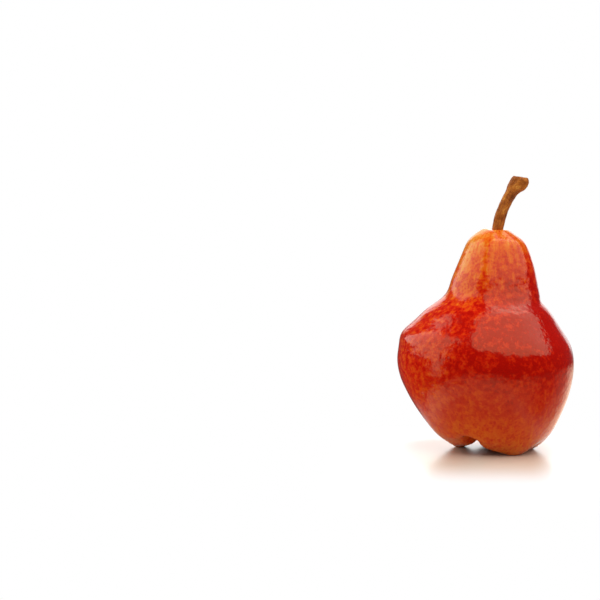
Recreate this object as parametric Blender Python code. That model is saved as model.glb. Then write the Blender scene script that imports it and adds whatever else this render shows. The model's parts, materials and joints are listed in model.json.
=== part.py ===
"""A ripe red pear standing on the lobes of its base, with its stem and its dried calyx.

The flesh and skin are one solid. The stem stands in a shallow socket in the crown, and the
calyx sits in the hollow under the base. Real size, in metres, +Z up.
"""

import math

import bpy
import numpy as np

MM = 0.001

# Driving sizes, in mm
BELLY_RADIUS = 38.0
BELLY_HEIGHT = 41.0
CROWN_HEIGHT = 96.0
STEM_FOOT = (4.6, 4.3)      # where the stem stands, to the right and to the back
STEM_FOOT_RADIUS = 2.4
SOCKET_DEPTH = 4.2
FIT_GAP = 0.4               # clearance between the flesh and what grows out of it

SEGMENTS = 72               # facets round the fruit
BASE_RING_STEP = 1.5        # ring spacing along the meridian, under the fruit and over its base
RING_STEP = 3.0             # ring spacing on the belly and neck
CROWN_RING_STEP = 1.6

# The meridian of the flesh, from the middle of the hollow under the fruit, over the base, up
# the belly and the neck, to the dimple at the crown. Each row is the radius, the height, and
# where the ring's centre stands to the right and to the back, in mm: the neck leans right and
# back, and the base stands a little to the right.
MERIDIAN = (
    (0.0, 7.4, 3.4, -0.8),
    (4.0, 7.1, 3.4, -0.8),
    (8.5, 5.2, 3.3, -0.8),
    (12.8, 1.6, 3.1, -0.7),
    (16.6, 0.0, 2.9, -0.7),
    (20.2, 1.9, 3.1, -0.7),
    (23.8, 5.7, 3.2, -0.6),
    (26.8, 10.2, 2.9, -0.4),
    (31.1, 17.3, 2.0, 0.0),
    (35.2, 26.0, 1.0, 0.2),
    (37.5, 34.0, 0.1, 0.2),
    (BELLY_RADIUS, BELLY_HEIGHT, -0.3, 0.0),
    (36.5, 47.5, -0.5, 0.0),
    (33.9, 52.2, -0.8, 0.0),
    (30.2, 57.0, -0.2, 0.0),
    (26.4, 61.6, 0.5, 0.1),
    (22.7, 65.0, 1.4, 0.4),
    (20.0, 68.8, 2.8, 0.9),
    (18.6, 73.5, 3.3, 1.5),
    (17.0, 79.2, 3.8, 2.2),
    (14.8, 85.4, 4.1, 3.0),
    (11.9, 91.2, 4.0, 3.7),
    (7.3, 94.8, 3.7, 4.1),
    (4.4, 96.0, 4.3, 4.3),
    (STEM_FOOT_RADIUS + FIT_GAP, CROWN_HEIGHT, *STEM_FOOT),
)
BASE_ROW = 4                # the row of the ring that the pear stands on
BASE_RADIUS = MERIDIAN[BASE_ROW][0]
SOCKET_ROW = len(MERIDIAN) - 1
CROWN_START = 90.0          # height above which the lip at the stem is formed

# Relief of the rim that the pear stands on: azimuth and spread in degrees (0 is the right, 90
# the back), and how far the rim is lifted there, in mm. A negative lift is a lobe that bears
# on the table.
RIM_RELIEF = (
    (236.0, 46.0, 4.3),         # the front left of the base is raised
    (243.0, 9.0, 4.8),          # the notch at the front left
    (303.0, 13.0, -0.9),
    (342.0, 18.0, 2.2),
    (22.0, 13.0, -0.4),
    (52.0, 14.0, 2.0),
    (84.0, 18.0, 0.8),
    (118.0, 17.0, 3.2),
    (148.0, 13.0, -0.6),
    (178.0, 17.0, 2.5),
)
RIM_FADE = 6.0              # height over which the lift of the rim fades out up the side
SINK = 0.25                 # how much of each bearing lobe is pressed into a small flat

# Swellings of the side: azimuth, height, spread in azimuth, spread in height, and how far the
# skin stands out, in degrees and mm
SWELLINGS = (
    (185.0, 51.5, 50.0, 4.5, 1.2),      # the high left shoulder
    (0.0, 65.5, 50.0, 2.0, -0.4),       # the crease where the neck meets the right shoulder
)

# Broad shallow ribs that wind a little as they rise: how many there are round the fruit, how
# far they stand out in mm, the azimuth of one of them at the table, and its turn per mm
RIBS = (
    (3, 0.25, 300.0, 0.6),
    (5, 0.30, 292.0, -0.35),
)
RIB_FULL_RADIUS = 16.0      # they fade out where the fruit is thinner than this
RIB_FOOT = 8.0              # and over this height above the table

# The lip of flesh that rises to the left of the stem
LIP_AZIMUTH = 165.0
LIP_SPREAD = 50.0
LIP_RADIUS = 5.0
LIP_WIDTH = 2.4
LIP_RISE = 0.7

# The stem: centre to the right, height, and radius, in mm, from its foot in the socket to the
# knob where it broke off the twig
STEM_LINE = (
    (STEM_FOOT[0], CROWN_HEIGHT - SOCKET_DEPTH + FIT_GAP, STEM_FOOT_RADIUS),
    (4.7, 95.2, STEM_FOOT_RADIUS),
    (5.1, 98.1, 2.45),
    (5.9, 101.6, 2.5),
    (7.1, 105.0, 2.4),
    (8.7, 108.4, 2.45),
    (10.5, 111.7, 2.6),
    (12.0, 114.5, 3.1),
    (13.3, 116.4, 3.4),
    (13.9, 117.8, 3.35),
    (14.2, 118.6, 2.95),
)
STEM_SEGMENTS = 24
STEM_RINGS = 26
SMOOTH_FOOT = 0.2           # the share of the stem over which the ridges rise from its foot
STEM_RIDGES = 5
STEM_RIDGE_HEIGHT = 0.05    # of the stem's radius
KNOB_START = 0.74           # along the stem
KNOB_BULGE = 0.34           # of the radius, towards the right
KNOB_TURN = math.radians(158.0)     # the bulge follows a sine up to this angle at the broken end
CUT_SKEW = math.radians(12.0)       # the broken end lies flatter than square to the stem
CUT_DISH = 0.7              # how far the broken end is dished

# The calyx: a shallow cup with five withered sepals that curl down and out, and stamen stubs
CALYX_CENTRE = (3.4, -0.8)
CALYX_TOP = 6.3
CALYX_CUP_RADIUS = 2.6
SEPAL_REACH = 6.6
SEPALS = 5
SEPAL_TURN = 20.0           # azimuth of the first sepal, in degrees
SEPAL_DROP = 2.2            # from the cup to a sepal's tip
SEPAL_THICKNESS = 0.55
STAMENS = 10
STAMEN_LENGTH = 1.5
STAMEN_RADIUS = 1.3         # of the ring that they stand in
STAMEN_THICKNESS = 0.6
SEPAL_POINT = 1.5           # how narrow the sepals are: 1 is broad
SEPAL_CURL = 1.6            # how late along its length a sepal bends down
SEPAL_TAPER = 0.5           # the share of its thickness that a sepal loses to its tip
CALYX_SEGMENTS = 60
CALYX_RINGS = 8


def smooth_rows(knots, rows, at):
    """A natural cubic spline through the rows, read off at the given places."""
    knots = np.asarray(knots, float)
    rows = np.asarray(rows, float)
    at = np.asarray(at, float)
    count = len(knots)
    steps = np.diff(knots)
    slopes = np.diff(rows, axis=0) / steps[:, None]
    matrix = np.zeros((count, count))
    right = np.zeros_like(rows)
    matrix[0, 0] = 1.0
    matrix[-1, -1] = 1.0
    for i in range(1, count - 1):
        matrix[i, i - 1] = steps[i - 1]
        matrix[i, i] = 2.0 * (steps[i - 1] + steps[i])
        matrix[i, i + 1] = steps[i]
        right[i] = 6.0 * (slopes[i] - slopes[i - 1])
    bends = np.linalg.solve(matrix, right)
    i = np.clip(np.searchsorted(knots, at, side="right") - 1, 0, count - 2)
    step = steps[i][:, None]
    t = (at - knots[i])[:, None]
    slope = slopes[i] - step * (2.0 * bends[i] + bends[i + 1]) / 6.0
    return rows[i] + t * slope + t**2 * bends[i] / 2.0 + t**3 * (bends[i + 1] - bends[i]) / (6.0 * step)


def hump(azimuth, centre, spread):
    """A smooth bump round one azimuth: 1 at its middle, fading to 0."""
    turn = (azimuth - math.radians(centre) + math.pi) % (2.0 * math.pi) - math.pi
    return np.exp(-(turn / math.radians(spread)) ** 2)


def meridian_knots():
    """Distance along the meridian to each of its rows."""
    rows = np.array(MERIDIAN)
    steps = np.hypot(np.diff(rows[:, 0]), np.diff(rows[:, 1]))
    return np.concatenate([[0.0], np.cumsum(steps)])


def fruit_points(along, azimuth):
    """Points of the skin: rings at the given distances along the meridian, in mm."""
    knots = meridian_knots()
    rows = smooth_rows(knots, MERIDIAN, along)
    ring_radius, ring_height, centre_x, centre_y = (rows[:, i][:, None] for i in range(4))
    turn = azimuth[None, :]
    outside = np.asarray(along)[:, None] > knots[BASE_ROW]
    inward = np.clip(ring_radius / BASE_RADIUS, 0.0, 1.0)
    fade = np.exp(-(np.maximum(ring_height, 0.0) / RIM_FADE) ** 2)
    rim = np.where(outside, fade, inward**2)
    radius = ring_radius + 0.0 * turn
    height = ring_height + 0.0 * turn
    for centre, spread, lift in RIM_RELIEF:
        height = height + lift * hump(turn, centre, spread) * rim
    for centre, level, spread, reach, swell in SWELLINGS:
        band = np.exp(-((ring_height - level) / reach) ** 2)
        radius = radius + swell * hump(turn, centre, spread) * band * inward
    full = np.clip(ring_radius / RIB_FULL_RADIUS, 0.0, 1.0) ** 2
    full = full * (1.0 - np.exp(-(ring_height / RIB_FOOT) ** 2)) * outside
    for count, rise, azimuth_at_table, twist in RIBS:
        phase = turn - np.radians(azimuth_at_table + twist * ring_height)
        radius = radius + rise * np.cos(count * phase) * full
    crown = ring_height > CROWN_START
    near_stem = np.exp(-((ring_radius - LIP_RADIUS) / LIP_WIDTH) ** 2) * crown
    height = height + LIP_RISE * hump(turn, LIP_AZIMUTH, LIP_SPREAD) * near_stem
    height = np.maximum(height - SINK, 0.0)
    x = centre_x + radius * np.cos(turn)
    y = centre_y + radius * np.sin(turn)
    return np.stack([x, y, height], axis=-1)


def fruit_rings():
    """Ring places: close together under and round the base, and at the crown."""
    knots = meridian_knots()
    parts = (
        (0.0, knots[BASE_ROW + 2], BASE_RING_STEP),
        (knots[BASE_ROW + 2], knots[SOCKET_ROW - 3], RING_STEP),
        (knots[SOCKET_ROW - 3], knots[SOCKET_ROW], CROWN_RING_STEP),
    )
    places = []
    for start, end, step in parts:
        count = int(round((end - start) / step))
        places.extend(np.linspace(start, end, count, endpoint=False))
    places.append(knots[SOCKET_ROW])
    return np.array(places[1:])


def closed_mesh(name, rings, start, end):
    """An object from rings of points with a middle point at each end, all in mm."""
    count, around = rings.shape[:2]
    verts = [tuple(p) for p in rings.reshape(-1, 3) * MM]
    first = len(verts)
    verts.append(tuple(np.asarray(start) * MM))
    verts.append(tuple(np.asarray(end) * MM))
    faces = []
    for j in range(around):
        k = (j + 1) % around
        faces.append((first, k, j))
        faces.append((first + 1, (count - 1) * around + j, (count - 1) * around + k))
        for i in range(count - 1):
            a = i * around
            b = a + around
            faces.append((a + j, a + k, b + k, b + j))
    mesh = bpy.data.meshes.new(name)
    mesh.from_pydata(verts, [], faces)
    mesh.update()
    mesh.shade_smooth()
    obj = bpy.data.objects.new(name, mesh)
    bpy.context.collection.objects.link(obj)
    return obj


def principled(name, color, roughness):
    """A plain skin, wood or husk material."""
    material = bpy.data.materials.new(name)
    material.use_nodes = True
    shader = material.node_tree.nodes["Principled BSDF"]
    shader.inputs["Base Color"].default_value = (*color, 1.0)
    shader.inputs["Roughness"].default_value = roughness
    shader.inputs["Metallic"].default_value = 0.0
    return material


def build_fruit():
    """The flesh and skin, with the socket that the stem stands in."""
    azimuth = np.linspace(0.0, 2.0 * math.pi, SEGMENTS, endpoint=False)
    rings = fruit_points(fruit_rings(), azimuth)
    mouth = rings[-1]
    centre_x, centre_y = MERIDIAN[SOCKET_ROW][2:]
    floor = mouth.copy()
    floor[:, 2] = MERIDIAN[SOCKET_ROW][1] - SOCKET_DEPTH
    rings = np.concatenate([rings, [floor]])
    start = fruit_points(np.array([0.0]), azimuth)[0].mean(axis=0)
    end = (centre_x, centre_y, floor[0, 2])
    fruit = closed_mesh("fruit", rings, start, end)
    fruit.data.materials.append(principled("pear_skin", (0.42, 0.035, 0.012), 0.22))
    return fruit


def build_stem():
    """The woody stalk: ridged, curved to the right, with a knob and a dished broken end."""
    line = np.array(STEM_LINE)
    steps = np.hypot(np.diff(line[:, 0]), np.diff(line[:, 1]))
    knots = np.concatenate([[0.0], np.cumsum(steps)])
    along = np.linspace(0.0, knots[-1], STEM_RINGS)
    places = smooth_rows(knots, line, along)
    tangent = np.gradient(places[:, :2], axis=0)
    tangent /= np.linalg.norm(tangent, axis=1)[:, None]
    tangent[0] = (0.0, 1.0)
    turn = np.linspace(0.0, 2.0 * math.pi, STEM_SEGMENTS, endpoint=False)
    rings = []
    for place, lean, share in zip(places, tangent, along / knots[-1]):
        above_socket = min(1.0, share / SMOOTH_FOOT) ** 2
        ridges = 1.0 + STEM_RIDGE_HEIGHT * above_socket * np.cos(STEM_RIDGES * turn)
        knob = max(0.0, (share - KNOB_START) / (1.0 - KNOB_START))
        tilt = math.atan2(*lean) - CUT_SKEW * knob
        bulge = 1.0 + KNOB_BULGE * math.sin(KNOB_TURN * knob) * np.maximum(0.0, np.cos(turn)) ** 2
        radius = place[2] * ridges * bulge
        across = radius * np.cos(turn)
        x = place[0] + across * math.cos(tilt)
        y = STEM_FOOT[1] + radius * np.sin(turn)
        z = place[1] - across * math.sin(tilt)
        rings.append(np.stack([x, y, z], axis=-1))
    rings = np.array(rings)
    start = (places[0, 0], STEM_FOOT[1], places[0, 1])
    end_x = places[-1, 0] - CUT_DISH * tangent[-1, 0]
    end_z = places[-1, 1] - CUT_DISH * tangent[-1, 1]
    stem = closed_mesh("stem", rings, start, (end_x, STEM_FOOT[1], end_z))
    stem.data.materials.append(principled("stem_wood", (0.16, 0.07, 0.025), 0.55))
    return stem


def build_calyx():
    """The dried flower remains: cup, five sepals and a tuft of stamen stubs, as one husk."""
    turn = np.linspace(0.0, 2.0 * math.pi, CALYX_SEGMENTS, endpoint=False)
    lobes = np.abs(np.cos(SEPALS / 2.0 * (turn - math.radians(SEPAL_TURN)))) ** SEPAL_POINT
    edge = CALYX_CUP_RADIUS + (SEPAL_REACH - CALYX_CUP_RADIUS) * lobes
    teeth = (1.0 + np.cos(STAMENS * turn)) / 2.0
    upper = []
    lower = []
    for share in np.linspace(1.0 / CALYX_RINGS, 1.0, CALYX_RINGS):
        radius = edge * share
        out = np.clip((radius - CALYX_CUP_RADIUS) / (SEPAL_REACH - CALYX_CUP_RADIUS), 0.0, 1.0)
        top = CALYX_TOP - SEPAL_DROP * out**SEPAL_CURL
        tuft = STAMEN_LENGTH * np.exp(-((radius - STAMEN_RADIUS) / STAMEN_THICKNESS) ** 2) * teeth
        thick = SEPAL_THICKNESS * (1.0 - SEPAL_TAPER * out) + tuft
        x = CALYX_CENTRE[0] + radius * np.cos(turn)
        y = CALYX_CENTRE[1] + radius * np.sin(turn)
        upper.append(np.stack([x, y, top], axis=-1))
        lower.append(np.stack([x, y, top - thick], axis=-1))
    rings = np.array(lower + upper[::-1])
    bottom = (*CALYX_CENTRE, CALYX_TOP - SEPAL_THICKNESS)
    calyx = closed_mesh("calyx", rings, bottom, (*CALYX_CENTRE, CALYX_TOP))
    calyx.data.materials.append(principled("calyx_husk", (0.06, 0.03, 0.015), 0.8))
    return calyx


def main():
    for obj in list(bpy.data.objects):
        bpy.data.objects.remove(obj)
    build_fruit()
    build_stem()
    build_calyx()


main()
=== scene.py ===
"""Looks of a ripe red pear: fine skin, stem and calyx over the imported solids, on a white table."""
import json
import math

import bpy
import numpy as np
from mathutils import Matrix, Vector, noise

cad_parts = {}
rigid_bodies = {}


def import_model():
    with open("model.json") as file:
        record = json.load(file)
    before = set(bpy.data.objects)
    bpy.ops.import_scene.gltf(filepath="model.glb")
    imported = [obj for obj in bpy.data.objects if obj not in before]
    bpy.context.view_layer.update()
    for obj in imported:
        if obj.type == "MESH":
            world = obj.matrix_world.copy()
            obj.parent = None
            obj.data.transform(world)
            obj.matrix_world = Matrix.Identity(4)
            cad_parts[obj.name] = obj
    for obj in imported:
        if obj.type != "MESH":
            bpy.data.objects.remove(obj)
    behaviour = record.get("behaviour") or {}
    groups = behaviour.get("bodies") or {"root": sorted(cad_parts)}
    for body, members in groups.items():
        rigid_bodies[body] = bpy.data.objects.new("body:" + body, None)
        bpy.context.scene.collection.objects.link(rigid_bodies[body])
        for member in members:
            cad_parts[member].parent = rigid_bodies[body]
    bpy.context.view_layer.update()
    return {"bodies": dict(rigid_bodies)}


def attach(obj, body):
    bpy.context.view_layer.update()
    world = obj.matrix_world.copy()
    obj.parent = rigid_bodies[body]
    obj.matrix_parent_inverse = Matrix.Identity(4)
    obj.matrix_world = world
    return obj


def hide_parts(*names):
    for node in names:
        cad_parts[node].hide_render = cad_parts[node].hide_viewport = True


MM = 0.001

# Driving sizes of the pear, in mm
BELLY_RADIUS = 38.0
BELLY_HEIGHT = 41.0
CROWN_HEIGHT = 96.0
STEM_FOOT = (4.6, 4.3)
STEM_FOOT_RADIUS = 2.4
SOCKET_DEPTH = 4.2
FIT_GAP = 0.4

# The meridian of the flesh from the middle of the hollow under it, over the base, the belly and
# the neck, to the dimple at the crown: radius, height, and the ring's centre to the right and back
MERIDIAN = (
    (0.0, 7.4, 3.4, -0.8),
    (4.0, 7.1, 3.4, -0.8),
    (8.5, 5.2, 3.3, -0.8),
    (12.8, 1.6, 3.1, -0.7),
    (16.6, 0.0, 2.9, -0.7),
    (20.2, 1.9, 3.1, -0.7),
    (23.8, 5.7, 3.2, -0.6),
    (26.8, 10.2, 2.9, -0.4),
    (31.1, 17.3, 2.0, 0.0),
    (35.2, 26.0, 1.0, 0.2),
    (37.5, 34.0, 0.1, 0.2),
    (BELLY_RADIUS, BELLY_HEIGHT, -0.3, 0.0),
    (36.5, 47.5, -0.5, 0.0),
    (33.9, 52.2, -0.8, 0.0),
    (30.2, 57.0, -0.2, 0.0),
    (26.4, 61.6, 0.5, 0.1),
    (22.7, 65.0, 1.4, 0.4),
    (20.0, 68.8, 2.8, 0.9),
    (18.6, 73.5, 3.3, 1.5),
    (17.0, 79.2, 3.8, 2.2),
    (14.8, 85.4, 4.1, 3.0),
    (11.9, 91.2, 4.0, 3.7),
    (7.3, 94.8, 3.7, 4.1),
    (4.4, 96.0, 4.3, 4.3),
    (STEM_FOOT_RADIUS + FIT_GAP, CROWN_HEIGHT, *STEM_FOOT),
)
BASE_ROW = 4
BASE_RADIUS = MERIDIAN[BASE_ROW][0]
CROWN_START = 90.0          # height above which the lip at the stem is formed

# Relief of the rim that the pear stands on: azimuth, spread in degrees, and lift
RIM_RELIEF = (
    (236.0, 46.0, 4.3),
    (243.0, 9.0, 4.8),
    (303.0, 13.0, -0.9),
    (342.0, 18.0, 2.2),
    (22.0, 13.0, -0.4),
    (52.0, 14.0, 2.0),
    (84.0, 18.0, 0.8),
    (118.0, 17.0, 3.2),
    (148.0, 13.0, -0.6),
    (178.0, 17.0, 2.5),
)
RIM_FADE = 6.0
SINK = 0.25                 # presses the lobes flat where they stand

# Swellings of the side: azimuth, height, spread in azimuth, spread in height, and rise
SWELLINGS = (
    (185.0, 51.5, 50.0, 4.5, 1.2),
    (0.0, 65.5, 50.0, 2.0, -0.4),
)

# Broad ribs: how many, their rise, the azimuth of one of them at the table, and its turn per mm
RIBS = (
    (3, 0.25, 300.0, 0.6),
    (5, 0.30, 292.0, -0.35),
)
RIB_FULL_RADIUS = 16.0
RIB_FOOT = 8.0

# The lip of flesh that rises to the left of the stem
LIP_AZIMUTH = 165.0
LIP_SPREAD = 50.0
LIP_RADIUS = 5.0
LIP_WIDTH = 2.4
LIP_RISE = 0.7

SKIN_RINGS = 275
SKIN_SEGMENTS = 320
# How the flesh turns down round the stem's foot: radius and depth under the crown
FLESH_TUCK = ((2.55, 0.15), (2.35, 0.6), (2.1, 1.4))
# Natural unevenness of the skin, in mm: size and height of its waves, and how they fade in from
# the table and from the stem, so that the flats it stands on and the fit round the stem stay true
SKIN_WAVES = ((13.0, 0.16), (5.5, 0.05))
SKIN_WAVE_START = 0.5       # above the table
SKIN_WAVE_FADE = 4.0        # above that, and out from the stem's foot
WAVE_SHIFT = 7.3            # keeps the patterns of two layers of waves apart

# The stem: centre to the right, height, and radius
STEM_LINE = (
    (STEM_FOOT[0], CROWN_HEIGHT - SOCKET_DEPTH + FIT_GAP, STEM_FOOT_RADIUS),
    (4.7, 95.2, STEM_FOOT_RADIUS),
    (5.1, 98.1, 2.45),
    (5.9, 101.6, 2.5),
    (7.1, 105.0, 2.4),
    (8.7, 108.4, 2.45),
    (10.5, 111.7, 2.6),
    (12.0, 114.5, 3.1),
    (13.3, 116.4, 3.4),
    (13.9, 117.8, 3.35),
    (14.2, 118.6, 2.95),
)
STEM_SEGMENTS = 120
STEM_RINGS = 180
SMOOTH_FOOT = 0.2           # share of the length over which the ridges come in
STEM_RIDGES = 5
STEM_RIDGE_HEIGHT = 0.05
KNOB_START = 0.74
KNOB_BULGE = 0.34
KNOB_TURN = math.radians(158.0)
CUT_SKEW = math.radians(12.0)
CUT_DISH = 0.9
CUT_RINGS = 10
BARK_WAVES = ((2.6, 0.16), (1.1, 0.08))     # size and height, as for the skin
BARK_WAVE_FADE = 3.0        # above the crown

# The calyx: a shallow cup, five withered sepals and the stubs of the stamens
CALYX_CENTRE = (3.4, -0.8)
CALYX_TOP = 6.3
CALYX_CUP_RADIUS = 2.6
SEPAL_REACH = 6.6
SEPALS = 5
SEPAL_TURN = 20.0
SEPAL_DROP = 2.2
SEPAL_THICKNESS = 0.55
SEPAL_POINT = 1.5           # a higher power makes the sepals narrower
SEPAL_CURL = 1.6            # a higher power keeps their drop nearer to the tips
TIP_THINNING = 0.5          # share of the thickness that is lost at the tips
STAMENS = 10
STAMEN_LENGTH = 1.5
STAMEN_RADIUS = 1.3
STAMEN_THICKNESS = 0.6
CALYX_SEGMENTS = 240
CALYX_RINGS = 34

# Camera: where it stands, and the pixel of the photograph that the pear's foot falls on
LENS = 135.0
SENSOR = 36.0
FRAME = 600.0               # pixels along each side
CAMERA_DISTANCE = 0.975
CAMERA_ELEVATION = math.radians(8.5)
FOOT_PIXEL = (485.0, 449.5)


def smooth_rows(knots, rows, at):
    """A natural cubic spline through the rows, read off at the given places."""
    knots = np.asarray(knots, float)
    rows = np.asarray(rows, float)
    at = np.asarray(at, float)
    count = len(knots)
    steps = np.diff(knots)
    slopes = np.diff(rows, axis=0) / steps[:, None]
    matrix = np.zeros((count, count))
    right = np.zeros_like(rows)
    matrix[0, 0] = 1.0
    matrix[-1, -1] = 1.0
    for i in range(1, count - 1):
        matrix[i, i - 1] = steps[i - 1]
        matrix[i, i] = 2.0 * (steps[i - 1] + steps[i])
        matrix[i, i + 1] = steps[i]
        right[i] = 6.0 * (slopes[i] - slopes[i - 1])
    bends = np.linalg.solve(matrix, right)
    i = np.clip(np.searchsorted(knots, at, side="right") - 1, 0, count - 2)
    step = steps[i][:, None]
    t = (at - knots[i])[:, None]
    slope = slopes[i] - step * (2.0 * bends[i] + bends[i + 1]) / 6.0
    return rows[i] + t * slope + t**2 * bends[i] / 2.0 + t**3 * (bends[i + 1] - bends[i]) / (6.0 * step)


def hump(azimuth, centre, spread):
    """A smooth bump round one azimuth: 1 at its middle, fading to 0."""
    turn = (azimuth - math.radians(centre) + math.pi) % (2.0 * math.pi) - math.pi
    return np.exp(-(turn / math.radians(spread)) ** 2)


def line_knots(rows):
    """Distance along a line to each of its rows, by their first two values."""
    rows = np.array(rows)
    steps = np.hypot(np.diff(rows[:, 0]), np.diff(rows[:, 1]))
    return np.concatenate([[0.0], np.cumsum(steps)])


def fruit_points(along, azimuth):
    """Points of the skin: rings at the given distances along the meridian, in mm."""
    knots = line_knots(MERIDIAN)
    rows = smooth_rows(knots, MERIDIAN, along)
    ring_radius, ring_height, centre_x, centre_y = (rows[:, i][:, None] for i in range(4))
    turn = azimuth[None, :]
    outside = np.asarray(along)[:, None] > knots[BASE_ROW]
    inward = np.clip(ring_radius / BASE_RADIUS, 0.0, 1.0)
    above_rim = np.exp(-(np.maximum(ring_height, 0.0) / RIM_FADE) ** 2)
    rim = np.where(outside, above_rim, inward**2)
    radius = ring_radius + 0.0 * turn
    height = ring_height + 0.0 * turn
    for centre, spread, lift in RIM_RELIEF:
        height = height + lift * hump(turn, centre, spread) * rim
    for centre, level, spread, reach, swell in SWELLINGS:
        band = np.exp(-((ring_height - level) / reach) ** 2)
        radius = radius + swell * hump(turn, centre, spread) * band * inward
    full = np.clip(ring_radius / RIB_FULL_RADIUS, 0.0, 1.0) ** 2
    full = full * (1.0 - np.exp(-(ring_height / RIB_FOOT) ** 2)) * outside
    for count, rise, azimuth_at_table, twist in RIBS:
        phase = turn - np.radians(azimuth_at_table + twist * ring_height)
        radius = radius + rise * np.cos(count * phase) * full
    crown = ring_height > CROWN_START
    near_stem = np.exp(-((ring_radius - LIP_RADIUS) / LIP_WIDTH) ** 2) * crown
    height = height + LIP_RISE * hump(turn, LIP_AZIMUTH, LIP_SPREAD) * near_stem
    height = np.maximum(height - SINK, 0.0)
    x = centre_x + radius * np.cos(turn)
    y = centre_y + radius * np.sin(turn)
    return np.stack([x, y, height], axis=-1)


def waves(point, size, seed):
    """Smooth noise at a point in mm, about -1 to 1, with waves of the given size."""
    return noise.noise(Vector(point) / size + Vector((seed, seed, seed)))


def closed_mesh(name, rings, start, end):
    """An object from rings of points with a middle point at each end, all in mm."""
    count, around = rings.shape[:2]
    verts = np.concatenate([rings.reshape(-1, 3), [start, end]]) * MM
    first = count * around
    faces = []
    for j in range(around):
        k = (j + 1) % around
        faces.append((first, k, j))
        faces.append((first + 1, (count - 1) * around + j, (count - 1) * around + k))
        for i in range(count - 1):
            a = i * around
            b = a + around
            faces.append((a + j, a + k, b + k, b + j))
    mesh = bpy.data.meshes.new(name)
    mesh.from_pydata(verts.tolist(), [], faces)
    mesh.update()
    mesh.shade_smooth()
    obj = bpy.data.objects.new(name, mesh)
    bpy.context.collection.objects.link(obj)
    return obj


def keep_unrolled(obj, radius, turn, along):
    """Stores where each vertex lies if its piece is unrolled to one radius and straightened, so that
    streaks in the material follow its length."""
    shape = (len(along), len(turn))
    rings = np.stack(
        [
            np.broadcast_to(radius * np.cos(turn), shape),
            np.broadcast_to(radius * np.sin(turn), shape),
            np.broadcast_to(along[:, None], shape),
        ],
        axis=-1,
    )
    ends = np.array([(0.0, 0.0, 0.0), (0.0, 0.0, along[-1])])
    vectors = np.concatenate([rings.reshape(-1, 3), ends]) * MM
    layer = obj.data.attributes.new("unrolled", "FLOAT_VECTOR", "POINT")
    layer.data.foreach_set("vector", vectors.astype(np.float32).ravel())


def add_waves(obj, layers, strength):
    """Moves each vertex along its normal by smooth noise, times its own strength from 0 to 1."""
    mesh = obj.data
    normals = [Vector(n.vector) for n in mesh.vertex_normals]
    for vertex, normal, share in zip(mesh.vertices, normals, strength):
        if share > 0.0:
            point = vertex.co / MM
            lift = 0.0
            for i, (size, rise) in enumerate(layers):
                lift += rise * waves(point, size, WAVE_SHIFT * i)
            vertex.co += normal * (lift * share * MM)
    mesh.update()


def build_skin():
    """The flesh and skin, closed round the stem's foot."""
    azimuth = np.linspace(0.0, 2.0 * math.pi, SKIN_SEGMENTS, endpoint=False)
    length = line_knots(MERIDIAN)[-1]
    along = np.linspace(0.0, length, SKIN_RINGS + 1)[1:]
    rings = fruit_points(along, azimuth)
    mouth = rings[-1]
    tuck = []
    for radius, depth in FLESH_TUCK:
        ring = np.array(STEM_FOOT) + radius * np.stack([np.cos(azimuth), np.sin(azimuth)], axis=-1)
        tuck.append(np.column_stack([ring, mouth[:, 2] - depth]))
    rings = np.concatenate([rings, tuck])
    start = fruit_points(np.array([0.0]), azimuth)[0].mean(axis=0)
    end = (*STEM_FOOT, rings[-1, :, 2].mean())
    skin = closed_mesh("pear_skin", rings, start, end)

    along = np.concatenate([along, np.full(len(tuck), length)])
    keep_unrolled(skin, BELLY_RADIUS, azimuth, along)

    x, y, height = np.array([vertex.co for vertex in skin.data.vertices]).T / MM
    from_stem = np.hypot(x - STEM_FOOT[0], y - STEM_FOOT[1])
    above_table = np.clip((height - SKIN_WAVE_START) / SKIN_WAVE_FADE, 0.0, 1.0)
    off_stem = np.clip((from_stem - STEM_FOOT_RADIUS) / SKIN_WAVE_FADE, 0.0, 1.0)
    add_waves(skin, SKIN_WAVES, above_table * np.where(height > CROWN_START, off_stem, 1.0))
    return skin


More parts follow.
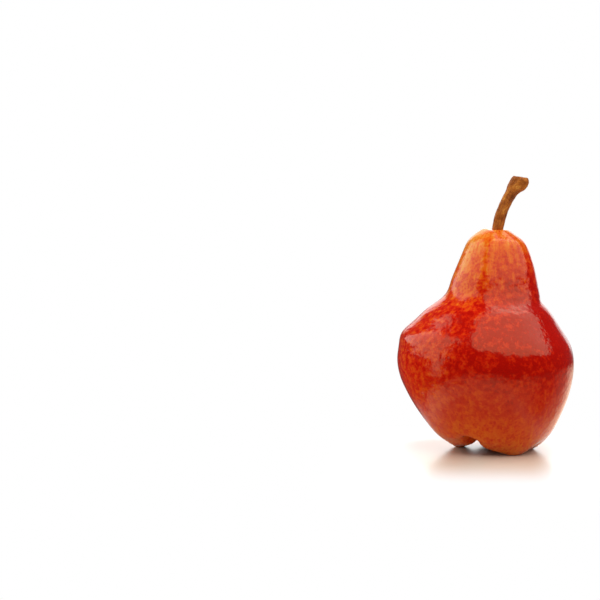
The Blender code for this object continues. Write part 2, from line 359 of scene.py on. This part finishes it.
def build_stem():
    """The woody stalk: ridged bark, curved to the right, with a knob and a dished broken end."""
    line = np.array(STEM_LINE)
    knots = line_knots(line)
    along = np.linspace(0.0, knots[-1], STEM_RINGS)
    places = smooth_rows(knots, line, along)
    tangent = np.gradient(places[:, :2], axis=0)
    tangent /= np.linalg.norm(tangent, axis=1)[:, None]
    tangent[0] = (0.0, 1.0)
    turn = np.linspace(0.0, 2.0 * math.pi, STEM_SEGMENTS, endpoint=False)
    rings = []
    for place, lean, share in zip(places, tangent, along / knots[-1]):
        above_socket = min(1.0, share / SMOOTH_FOOT) ** 2
        ridges = 1.0 + STEM_RIDGE_HEIGHT * above_socket * np.cos(STEM_RIDGES * turn)
        knob = max(0.0, (share - KNOB_START) / (1.0 - KNOB_START))
        tilt = math.atan2(*lean) - CUT_SKEW * knob
        bulge = 1.0 + KNOB_BULGE * math.sin(KNOB_TURN * knob) * np.maximum(0.0, np.cos(turn)) ** 2
        radius = place[2] * ridges * bulge
        across = radius * np.cos(turn)
        x = place[0] + across * math.cos(tilt)
        y = STEM_FOOT[1] + radius * np.sin(turn)
        z = place[1] - across * math.sin(tilt)
        rings.append(np.stack([x, y, z], axis=-1))
    middle = np.array([places[-1, 0], STEM_FOOT[1], places[-1, 1]])
    inward = np.array([tangent[-1, 0], 0.0, tangent[-1, 1]])
    for i in range(1, CUT_RINGS):
        share = 1.0 - i / CUT_RINGS
        dish = CUT_DISH * (1.0 - share**2)
        rings.append(middle + (rings[STEM_RINGS - 1] - middle) * share - inward * dish)
    start = (places[0, 0], STEM_FOOT[1], places[0, 1])
    stem = closed_mesh("pear_stem", np.array(rings), start, tuple(middle - inward * CUT_DISH))

    along = np.concatenate([along, np.full(CUT_RINGS - 1, knots[-1])])
    keep_unrolled(stem, STEM_FOOT_RADIUS, turn, along)
    height = np.array([vertex.co.z for vertex in stem.data.vertices]) / MM
    above_crown = np.clip((height - CROWN_HEIGHT) / BARK_WAVE_FADE, 0.0, 1.0)
    add_waves(stem, BARK_WAVES, above_crown)
    return stem


def build_calyx():
    """The dried flower remains: cup, five sepals and a tuft of stamen stubs, as one husk."""
    turn = np.linspace(0.0, 2.0 * math.pi, CALYX_SEGMENTS, endpoint=False)
    lobes = np.abs(np.cos(0.5 * SEPALS * (turn - math.radians(SEPAL_TURN)))) ** SEPAL_POINT
    edge = CALYX_CUP_RADIUS + (SEPAL_REACH - CALYX_CUP_RADIUS) * lobes
    teeth = 0.5 + 0.5 * np.cos(STAMENS * turn)
    upper = []
    lower = []
    for share in np.linspace(1.0 / CALYX_RINGS, 1.0, CALYX_RINGS):
        radius = edge * share
        out = np.clip((radius - CALYX_CUP_RADIUS) / (SEPAL_REACH - CALYX_CUP_RADIUS), 0.0, 1.0)
        top = CALYX_TOP - SEPAL_DROP * out**SEPAL_CURL
        tuft = STAMEN_LENGTH * np.exp(-((radius - STAMEN_RADIUS) / STAMEN_THICKNESS) ** 2) * teeth
        thick = SEPAL_THICKNESS * (1.0 - TIP_THINNING * out) + tuft
        x = CALYX_CENTRE[0] + radius * np.cos(turn)
        y = CALYX_CENTRE[1] + radius * np.sin(turn)
        upper.append(np.stack([x, y, top], axis=-1))
        lower.append(np.stack([x, y, top - thick], axis=-1))
    rings = np.array(lower + upper[::-1])
    bottom = (*CALYX_CENTRE, CALYX_TOP - SEPAL_THICKNESS)
    return closed_mesh("pear_calyx", rings, bottom, (*CALYX_CENTRE, CALYX_TOP))


def put(socket, value):
    """Sets a socket to a value, or links it to another node's output."""
    if isinstance(value, bpy.types.NodeSocket):
        socket.id_data.links.new(value, socket)
    else:
        socket.default_value = value


def add(tree, kind, **values):
    """A new node. Names that are the node's own settings are set, and the rest are its inputs."""
    node = tree.nodes.new(kind)
    later = {}
    for name, value in values.items():
        if hasattr(node, name):
            setattr(node, name, value)
        else:
            later[name] = value
    for name, value in later.items():
        put(node.inputs[name.replace("_", " ")], value)
    return node


def maths(tree, operation, first, second=0.0, third=0.0):
    """One step of arithmetic on values or on other nodes' outputs."""
    node = add(tree, "ShaderNodeMath", operation=operation)
    for socket, value in zip(node.inputs, (first, second, third)):
        put(socket, value)
    return node.outputs[0]


def total(tree, *values):
    """The sum of several values."""
    result = values[0]
    for value in values[1:]:
        result = maths(tree, "ADD", result, value)
    return result


def product(tree, first, second):
    """One value times another."""
    return maths(tree, "MULTIPLY", first, second)


def scaled(tree, value, factor, middle=0.0):
    """(value - middle) * factor"""
    return product(tree, maths(tree, "SUBTRACT", value, middle), factor)


def between(tree, value, low, high):
    """Spreads a value from 0 to 1 between two others."""
    return maths(tree, "MULTIPLY_ADD", value, high - low, low)


def fade(tree, value, low, high):
    """0 below low, 1 above high, and smooth between. High may be the lower of the two."""
    node = add(tree, "ShaderNodeMapRange", interpolation_type="SMOOTHSTEP")
    start, end = (low, high) if low < high else (high, low)
    put(node.inputs["Value"], value)
    put(node.inputs["From Min"], start)
    put(node.inputs["From Max"], end)
    put(node.inputs["To Min"], 0.0 if low < high else 1.0)
    put(node.inputs["To Max"], 1.0 if low < high else 0.0)
    return node.outputs["Result"]


def ramp(tree, value, stops):
    """A colour ramp: each stop is a place and a grey level or a colour."""
    node = add(tree, "ShaderNodeValToRGB")
    elements = node.color_ramp.elements
    while len(elements) < len(stops):
        elements.new(0.5)
    for element, (place, colour) in zip(elements, stops):
        element.position = place
        element.color = (*colour, 1.0) if isinstance(colour, tuple) else (colour, colour, colour, 1.0)
    put(node.inputs["Fac"], value)
    return node.outputs["Color"]


def blend(tree, factor, first, second):
    """One colour over another."""
    node = add(tree, "ShaderNodeMix", data_type="RGBA")
    put(node.inputs[0], factor)
    for socket, value in zip(node.inputs[6:8], (first, second)):
        put(socket, (*value, 1.0) if isinstance(value, tuple) else value)
    return node.outputs[2]


def grain(tree, place, size, detail=2.0, roughness=0.5, stretch=None):
    """Noise with features of about the given size in mm, about 0 to 1 with its middle at 0.5."""
    if stretch:
        place = add(tree, "ShaderNodeMapping", Vector=place, Scale=stretch).outputs["Vector"]
    node = add(tree, "ShaderNodeTexNoise", Vector=place, Scale=1.0 / (size * MM))
    put(node.inputs["Detail"], detail)
    put(node.inputs["Roughness"], roughness)
    return node.outputs["Fac"]


def new_material(name):
    """A material with its node tree and its shader."""
    material = bpy.data.materials.new(name)
    material.use_nodes = True
    return material, material.node_tree, material.node_tree.nodes["Principled BSDF"]


def finish_surface(tree, shader, colour, roughness, relief):
    """Links a colour, a roughness and a relief in metres to the shader."""
    put(shader.inputs["Base Color"], colour)
    put(shader.inputs["Roughness"], roughness)
    bump = add(tree, "ShaderNodeBump", Height=relief, Distance=1.0, Strength=1.0)
    put(shader.inputs["Normal"], bump.outputs["Normal"])


# Blush of the skin by height, from the table to the crown, and how strongly it is mottled there
BLUSH_BY_HEIGHT = (
    (0.00, 0.28),
    (0.12, 0.50),
    (0.23, 0.70),
    (0.33, 0.84),
    (0.41, 0.92),
    (0.50, 0.94),
    (0.62, 0.94),
    (0.70, 0.76),
    (0.80, 0.54),
    (1.00, 0.08),
)
MOTTLING_BY_HEIGHT = ((0.20, 0.30), (0.46, 0.60), (0.70, 0.66), (0.92, 0.34))
SUNNY_SIDE = (0.97, -0.24, 0.0)
# What the other patterns add to the blush
SUN_SHARE = 0.24
BROAD_SHARE = 0.40
FINE_SHARE = 0.50
STREAK_SHARE = 0.36
NECK_STREAK_SHARE = 0.90
DOT_SHARE = 0.16
# Heights between which the sunny side and the streaks of the neck come in, as shares of the crown's
SUN_START = (0.10, 0.50)
NECK_START = (0.58, 0.72)
# Blotches: how far the blush spreads them, the noise at which they start and are full, and the
# level of them that leaves the blush as it is
BLOTCH_SPREAD = 0.14
BLOTCH_EDGE = (0.48, 0.73)
BLOTCH_MIDDLE = 0.45

# The skin's colours from no blush to the deepest
SKIN_COLOURS = (
    (0.00, (0.75, 0.26, 0.034)),
    (0.20, (0.72, 0.132, 0.006)),
    (0.40, (0.66, 0.062, 0.003)),
    (0.60, (0.58, 0.024, 0.003)),
    (0.80, (0.53, 0.008, 0.001)),
    (1.00, (0.40, 0.003, 0.001)),
)
BLUSH_TO_COLOUR = 0.8
BARK_COLOURS = (
    (0.10, (0.16, 0.036, 0.005)),
    (0.40, (0.31, 0.080, 0.012)),
    (0.65, (0.52, 0.165, 0.022)),
    (0.92, (0.80, 0.38, 0.070)),
)
HUSK_COLOURS = (
    (0.25, (0.016, 0.008, 0.004)),
    (0.55, (0.07, 0.035, 0.015)),
    (0.85, (0.20, 0.12, 0.05)),
)
# Wax and bark tint what they mirror
WAX_TINT = (1.0, 0.88, 0.48, 1.0)
BARK_TINT = (1.0, 0.80, 0.50, 1.0)
WAX_IOR = 1.36


def skin_blush(tree, place, unrolled):
    """How red the skin is: 0 is its orange ground, and the reddest places are a little over 1."""
    split = add(tree, "ShaderNodeSeparateXYZ", Vector=place)
    height = maths(tree, "DIVIDE", split.outputs["Z"], CROWN_HEIGHT * MM)
    outward = add(tree, "ShaderNodeVectorMath", operation="MULTIPLY")
    put(outward.inputs[0], place)
    put(outward.inputs[1], (1.0, 1.0, 0.0))
    direction = add(tree, "ShaderNodeVectorMath", operation="NORMALIZE")
    put(direction.inputs[0], outward.outputs[0])
    sunny = add(tree, "ShaderNodeVectorMath", operation="DOT_PRODUCT")
    put(sunny.inputs[0], direction.outputs[0])
    put(sunny.inputs[1], SUNNY_SIDE)
    above_base = fade(tree, height, *SUN_START)
    ground = total(
        tree,
        ramp(tree, height, BLUSH_BY_HEIGHT),
        product(tree, scaled(tree, sunny.outputs["Value"], SUN_SHARE), above_base),
        scaled(tree, grain(tree, place, size=24.0), BROAD_SHARE, middle=0.5),
    )
    blotches = grain(tree, place, size=2.6, detail=4.0, roughness=0.7)
    red = fade(tree, maths(tree, "MULTIPLY_ADD", ground, BLOTCH_SPREAD, blotches), *BLOTCH_EDGE)
    mottling = ramp(tree, height, MOTTLING_BY_HEIGHT)
    fine = grain(tree, unrolled, size=1.1, detail=3.0, roughness=0.7, stretch=(1.0, 1.0, 0.6))
    streaks = grain(tree, unrolled, size=2.4, stretch=(1.0, 1.0, 0.2))
    neck_streaks = grain(tree, unrolled, size=4.7, stretch=(1.0, 1.0, 0.35))
    on_neck = fade(tree, height, *NECK_START)
    return total(
        tree,
        ground,
        product(tree, scaled(tree, neck_streaks, NECK_STREAK_SHARE, middle=0.45), on_neck),
        product(tree, maths(tree, "SUBTRACT", red, BLOTCH_MIDDLE), mottling),
        scaled(tree, fine, FINE_SHARE, middle=0.5),
        scaled(tree, streaks, STREAK_SHARE, middle=0.5),
    )


def skin_dots(tree, place, spacing, low, high):
    """Round dots at random places: 1 in a dot, and 0 between them."""
    cells = add(tree, "ShaderNodeTexVoronoi", Vector=place, Scale=1.0 / (spacing * MM))
    return fade(tree, cells.outputs["Distance"], high, low)


def skin_material():
    """Glossy waxed skin, mottled and streaked red over orange."""
    material, tree, shader = new_material("waxy_skin")
    place = add(tree, "ShaderNodeTexCoord").outputs["Object"]
    unrolled = add(tree, "ShaderNodeAttribute", attribute_name="unrolled").outputs["Vector"]
    dots = skin_dots(tree, place, spacing=1.9, low=0.12, high=0.42)
    blush = total(tree, skin_blush(tree, place, unrolled), scaled(tree, dots, DOT_SHARE))
    colour = ramp(tree, scaled(tree, blush, BLUSH_TO_COLOUR), SKIN_COLOURS)
    roughness = between(tree, grain(tree, place, size=3.0, detail=3.0), 0.06, 0.20)
    relief = total(
        tree,
        scaled(tree, grain(tree, place, size=5.0), 0.10 * MM),
        scaled(tree, grain(tree, place, size=2.2, roughness=0.4), 0.17 * MM),
        scaled(tree, dots, 0.006 * MM),
    )
    shader.inputs["IOR"].default_value = WAX_IOR
    shader.inputs["Specular Tint"].default_value = WAX_TINT
    finish_surface(tree, shader, colour, roughness, relief)
    return material


def bark_material():
    """Brown bark with lighter and darker patches and fine fibres along the stem."""
    material, tree, shader = new_material("stem_bark")
    place = add(tree, "ShaderNodeTexCoord").outputs["Object"]
    unrolled = add(tree, "ShaderNodeAttribute", attribute_name="unrolled").outputs["Vector"]
    fibres = grain(tree, unrolled, size=0.9, detail=3.0, roughness=0.6, stretch=(1.0, 1.0, 0.15))
    patches = grain(tree, place, size=4.0)
    tone = total(
        tree,
        scaled(tree, fibres, 0.9, middle=0.5),
        scaled(tree, patches, 1.2, middle=0.5),
        0.5,
    )
    colour = ramp(tree, tone, BARK_COLOURS)
    roughness = between(tree, patches, 0.35, 0.65)
    relief = total(
        tree,
        scaled(tree, fibres, 0.14 * MM),
        scaled(tree, grain(tree, place, size=0.7), 0.03 * MM),
    )
    shader.inputs["IOR"].default_value = WAX_IOR
    shader.inputs["Specular Tint"].default_value = BARK_TINT
    finish_surface(tree, shader, colour, roughness, relief)
    return material


def husk_material():
    """Dry dark husk of the calyx."""
    material, tree, shader = new_material("dry_husk")
    place = add(tree, "ShaderNodeTexCoord").outputs["Object"]
    tone = grain(tree, place, size=1.4, detail=4.0, roughness=0.65)
    colour = ramp(tree, tone, HUSK_COLOURS)
    roughness = between(tree, tone, 0.6, 0.9)
    finish_surface(tree, shader, colour, roughness, scaled(tree, tone, 0.4 * MM))
    return material


# The table: its colour round the pear, darker and warmer there as painted shade, and towards its
# edges, and where it fades into the white room. Each edge is the direction that leads onto the
# table, where the edge lies along it, and half its softness, in metres.
FLOOR_HALF = 0.6
FLOOR_PAINTED_SHADE = (0.62, 0.50, 0.385)
FLOOR_WHITE = (0.95, 0.95, 0.95)
FLOOR_IOR = 1.22
FLOOR_EDGES = (
    ((1.0, 0.0, 0.0), -0.044, 0.024),
    ((0.0, 1.0, 0.0), -0.094, 0.072),
    ((-1.0, 0.0, 0.0), -0.036, 0.018),
    ((0.0, -1.0, 0.0), -0.042, 0.028),
)

# Light from round the pear. Each soft box is its strength and its left, right, low and high
# edge. An edge is its place, its slant and half its softness: left and right edges are degrees from
# the viewer's side, positive to the right, and move by the slant per degree of rise; low and
# high edges are degrees above the horizon, and move by the slant per degree of turn. An edge
# beyond 90 degrees up or down cuts nothing off.
SOFTBOXES = (
    (2.5, (12.0, -0.78, 2.0), (80.0, 0.9, 2.0), (35.5, -0.2, 1.5), (92.0, 0.0, 1.0)),
    (2.55, (-138.0, 0.35, 3.0), (-57.0, 0.12, 1.5), (8.0, 0.0, 1.5), (54.0, -0.03, 4.0)),
    (2.2, (-71.0, 0.0, 2.0), (-56.0, 0.1, 1.5), (-22.0, 0.0, 9.0), (8.0, 0.0, 1.5)),
    (1.5, (-184.0, 0.0, 4.0), (-156.0, 0.0, 2.0), (8.0, 0.0, 3.0), (46.0, 0.0, 6.0)),
    (2.1, (115.0, 0.0, 8.0), (178.0, 0.0, 8.0), (47.0, 0.0, 6.0), (92.0, 0.0, 1.0)),
    (1.6, (156.0, 0.0, 6.0), (188.0, 0.0, 4.0), (-2.0, 0.0, 4.0), (28.0, 0.0, 6.0)),
)
# Light that the table sends back up from beyond its solid part, as soft boxes below the horizon
TABLE_GLOW = (
    (1.12, (-64.0, 0.0, 4.0), (74.0, 0.0, 30.0), (-95.0, 0.0, 1.0), (-27.0, 0.13, 1.5)),
    (0.55, (104.0, 0.0, 14.0), (178.0, 0.0, 4.0), (-60.0, 0.0, 10.0), (-22.0, 0.1, 1.5)),
    (1.1, (137.0, 0.0, 6.0), (182.0, 0.0, 4.0), (-60.0, 0.0, 10.0), (-8.0, 0.0, 3.0)),
    (2.4, (-175.0, 0.0, 6.0), (-64.0, 0.0, 4.0), (-95.0, 0.0, 1.0), (-39.0, 0.0, 3.0)),
)
TABLE_GLOW_COLOUR = (1.0, 0.78, 0.58)
DIM = 0.07                  # light from every direction


def build_floor():
    """A glossy table top that fades into the white room round the pear, with painted shade: darker and
    warmer near the pear.
    """
    corners = [(x * FLOOR_HALF, y * FLOOR_HALF, 0.0) for x, y in ((-1, -1), (1, -1), (1, 1), (-1, 1))]
    mesh = bpy.data.meshes.new("table_top")
    mesh.from_pydata(corners, [], [(0, 1, 2, 3)])
    floor = bpy.data.objects.new("table_top", mesh)
    bpy.context.collection.objects.link(floor)
    material, tree, shader = new_material("white_table_painted_shade")
    place = add(tree, "ShaderNodeTexCoord").outputs["Object"]
    put(shader.inputs["Roughness"], between(tree, grain(tree, place, size=40.0), 0.22, 0.28))
    shader.inputs["IOR"].default_value = FLOOR_IOR
    solid = 1.0
    for direction, start, soft in FLOOR_EDGES:
        along = add(tree, "ShaderNodeVectorMath", operation="DOT_PRODUCT")
        put(along.inputs[0], place)
        put(along.inputs[1], direction)
        solid = product(tree, fade(tree, along.outputs["Value"], start - soft, start + soft), solid)
    put(shader.inputs["Alpha"], solid)
    # Painted shade: the table's colour turns from white to a darker warm tan near the pear
    painted_shade_near_pear = fade(tree, solid, 0.45, 1.0)
    put(shader.inputs["Base Color"], blend(tree, painted_shade_near_pear, FLOOR_WHITE, FLOOR_PAINTED_SHADE))
    mesh.materials.append(material)


def softbox(tree, turn, rise, box):
    """The brightness of one soft box in every direction."""
    strength, left, right, low, high = box
    middle = (left[0] + right[0]) / 2.0
    off = maths(tree, "WRAP", maths(tree, "SUBTRACT", turn, middle), 180.0, -180.0)
    edges = (
        (off, rise, left[0] - middle, *left[1:], 1.0),
        (off, rise, right[0] - middle, *right[1:], -1.0),
        (rise, turn, *low, 1.0),
        (rise, turn, *high, -1.0),
    )
    light = strength
    for across, alongside, edge, slant, soft, inward in edges:
        place = maths(tree, "MULTIPLY_ADD", alongside, slant, edge)
        light = product(tree, fade(tree, scaled(tree, across, inward, place), -soft, soft), light)
    return light


def build_light():
    """A white room for the camera, and soft boxes and the table's glow for all else."""
    world = bpy.data.worlds.new("studio")
    bpy.context.scene.world = world
    world.use_nodes = True
    tree = world.node_tree
    tree.nodes.clear()
    direction = add(tree, "ShaderNodeTexCoord").outputs["Generated"]
    x, y, z = add(tree, "ShaderNodeSeparateXYZ", Vector=direction).outputs
    turn = maths(tree, "DEGREES", maths(tree, "ARCTAN2", x, product(tree, y, -1.0)))
    rise = maths(tree, "DEGREES", maths(tree, "ARCSINE", z))
    light = total(tree, DIM, *(softbox(tree, turn, rise, box) for box in SOFTBOXES))
    glow = total(tree, *(softbox(tree, turn, rise, box) for box in TABLE_GLOW))
    colour = add(tree, "ShaderNodeCombineXYZ")
    for socket, share in zip(colour.inputs, TABLE_GLOW_COLOUR):
        put(socket, maths(tree, "MULTIPLY_ADD", glow, share, light))
    seen = add(tree, "ShaderNodeLightPath").outputs["Is Camera Ray"]
    shown = blend(tree, seen, colour.outputs["Vector"], (1.0, 1.0, 1.0))
    background = add(tree, "ShaderNodeBackground", Color=shown)
    out = add(tree, "ShaderNodeOutputWorld")
    put(out.inputs["Surface"], background.outputs["Background"])


def build_camera():
    """Stands in front of the pear and turns so that its foot falls on its pixel in the frame."""
    data = bpy.data.cameras.new("camera")
    data.lens = LENS
    data.sensor_width = SENSOR
    camera = bpy.data.objects.new("camera", data)
    bpy.context.collection.objects.link(camera)
    camera.location = (0.0, -CAMERA_DISTANCE, CAMERA_DISTANCE * math.tan(CAMERA_ELEVATION))
    focal = LENS / SENSOR * FRAME
    right = (FOOT_PIXEL[0] - FRAME / 2.0) / focal
    down = (FOOT_PIXEL[1] - FRAME / 2.0) / focal
    reach = math.sqrt(1.0 + right**2 + down**2)
    pitch = math.asin(reach * math.sin(CAMERA_ELEVATION) / math.hypot(1.0, down)) - math.atan(down)
    yaw = math.atan2(right, math.cos(pitch) - down * math.sin(pitch))
    camera.rotation_euler = (math.pi / 2.0 - pitch, 0.0, yaw)
    bpy.context.scene.camera = camera


def main():
    """Dresses the solids, and adds table, light and camera."""
    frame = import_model()
    pieces = (
        (build_skin(), "fruit", "skin", skin_material()),
        (build_stem(), "stem", "stem", bark_material()),
        (build_calyx(), "calyx", "calyx", husk_material()),
    )
    for piece, node, slot, material in pieces:
        piece.data.materials.append(material)
        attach(piece, frame["bodies"][0] if isinstance(frame["bodies"], list) else "root")
        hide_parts(node)
    build_floor()
    build_light()
    build_camera()
    bpy.context.scene.view_settings.view_transform = "Standard"


main()
